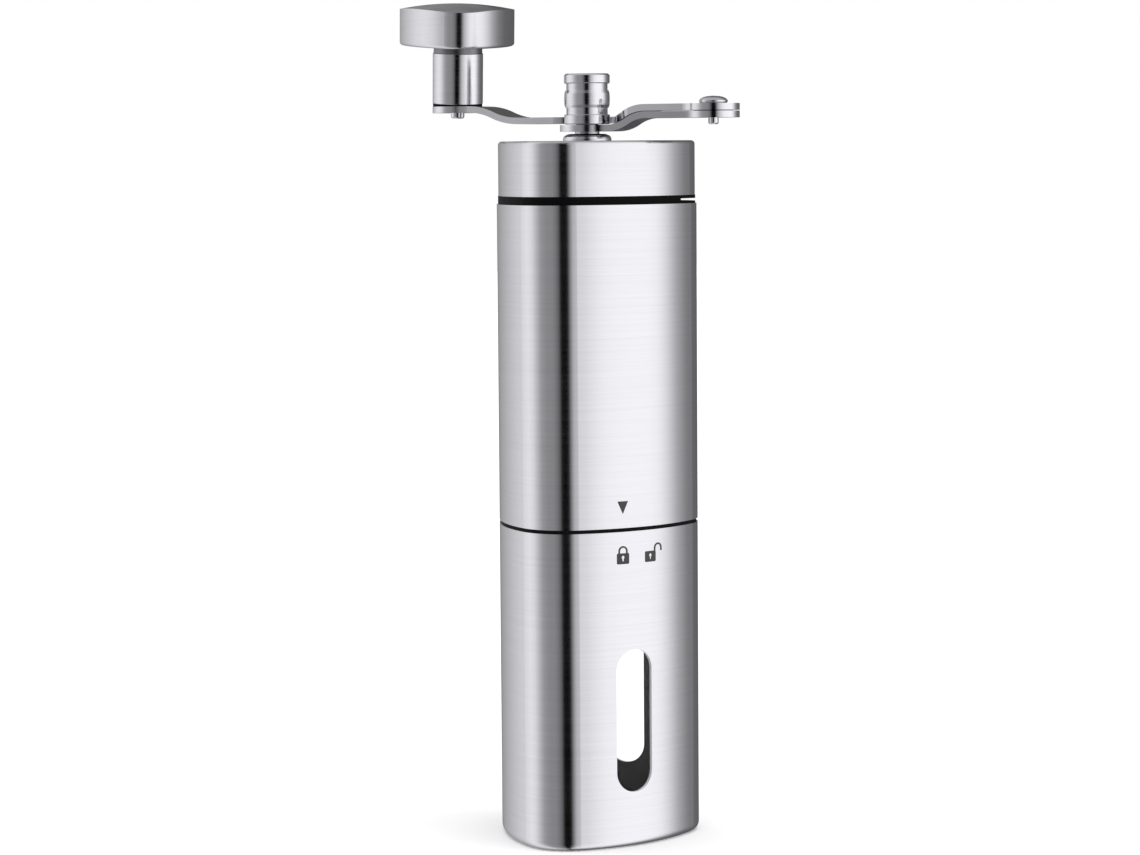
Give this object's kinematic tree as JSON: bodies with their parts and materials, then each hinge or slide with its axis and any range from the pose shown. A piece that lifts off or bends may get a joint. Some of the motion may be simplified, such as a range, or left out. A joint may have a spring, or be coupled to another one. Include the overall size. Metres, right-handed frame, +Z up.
{
  "type": "hand crank coffee grinder",
  "caption": "Slim hand coffee grinder: rounded triangular steel body over a windowed catch cup, ceramic cone burrs, and a folding crank with a triangular knob.",
  "frame": {"origin": "on the spindle axis at the underside of the cup", "axes": "+Z up along the spindle; the windowed front face of the cup faces -Y"},
  "size_m": [0.0494, 0.0876, 0.2046],
  "materials": {
    "cup_steel": "fine horizontal brushing",
    "body_steel": "fine horizontal brushing",
    "lid_steel": "fine horizontal brushing",
    "turned_steel": "turned, satin",
    "link_steel": "satin stamped sheet",
    "stem_steel": "turned, satin",
    "knob_steel": "fine horizontal brushing",
    "shaft_steel": "machined",
    "spring_steel": "drawn wire and stamped sheet",
    "clear_plastic": "clear moulded plastic",
    "black_plastic": "fine matt moulding",
    "band_plastic": "fine matt moulding",
    "dial_plastic": "matt moulding",
    "knob_plastic": "matt moulding",
    "washer_plastic": "nylon",
    "seal_rubber": "matt",
    "burr_ceramic": "fired, unglazed",
    "bush_brass": "machined"
  },
  "bodies": {
    "cup": {"cup_shell": "cup_steel", "cup_liner": "clear_plastic", "cup_collar": "black_plastic"},
    "body": {"body_shell": "body_steel", "seam_seal": "seal_rubber", "body_collar": "black_plastic", "burr_housing": "black_plastic", "outer_burr": "burr_ceramic", "lower_bush": "bush_brass", "top_frame": "band_plastic", "upper_bush": "bush_brass"},
    "lid": {"lid_shell": "lid_steel", "lid_plug": "black_plastic", "lid_collar": "turned_steel"},
    "spindle": {"shaft": "shaft_steel", "shaft_clip": "spring_steel", "spring_washer": "spring_steel", "burr_spring": "spring_steel"},
    "cone": {"inner_burr": "burr_ceramic", "burr_driver": "dial_plastic"},
    "dial": {"adjuster_dial": "dial_plastic"},
    "crank_arm": {"lower_link": "link_steel", "pivot_rivet": "turned_steel", "pivot_washer": "washer_plastic"},
    "handle_arm": {"upper_link": "link_steel", "knob_pin": "turned_steel", "knob_washer": "washer_plastic"},
    "knob": {"knob_stem": "stem_steel", "knob_core": "knob_plastic", "knob_head": "knob_steel"},
    "nut": {"thumb_nut": "turned_steel"}
  },
  "joints": [
    {"name": "lock_twist", "type": "hinge", "parent": "cup", "child": "body", "pos_m": [0, 0, 0.0694], "axis": [0, 0, 1], "range_deg": [0, 22.5]},
    {"name": "lid_lift", "type": "slide", "parent": "body", "child": "lid", "axis": [0, 0, 1], "range_m": [0, 0.035]},
    {"name": "crank_turn", "type": "hinge", "parent": "body", "child": "spindle", "pos_m": [0, 0, 0.12], "axis": [0, 0, 1], "continuous": true},
    {"name": "burr_gap", "type": "slide", "parent": "spindle", "child": "cone", "axis": [0, 0, -1], "range_m": [0, 0.0012], "deforming": ["burr_spring"]},
    {"name": "grind_dial", "type": "hinge", "parent": "cone", "child": "dial", "pos_m": [0, 0, 0.074], "axis": [0, 0, -1], "range_deg": [0, 540]},
    {"name": "crank_lift", "type": "slide", "parent": "spindle", "child": "crank_arm", "axis": [0, 0, 1], "range_m": [0, 0.0525]},
    {"name": "nut_lift", "type": "slide", "parent": "spindle", "child": "nut", "axis": [0, 0, 1], "range_m": [0, 0.07]},
    {"name": "crank_fold", "type": "hinge", "parent": "crank_arm", "child": "handle_arm", "pos_m": [0.01736, -0.02705, 0.1768], "axis": [0, 0, -1], "range_deg": [0, 168.7]},
    {"name": "knob_spin", "type": "hinge", "parent": "handle_arm", "child": "knob", "pos_m": [-0.00936, 0.04105, 0.1779], "axis": [-0.0356, -0.0757, 0.9965], "continuous": true}
  ],
  "couplings": [
    {"joint": "lid_lift", "follows": "nut_lift", "ratio": 0.5},
    {"joint": "crank_lift", "follows": "nut_lift", "ratio": 0.75},
    {"joint": "burr_gap", "follows": "grind_dial", "m_per_rad": 0.00012732}
  ]
}
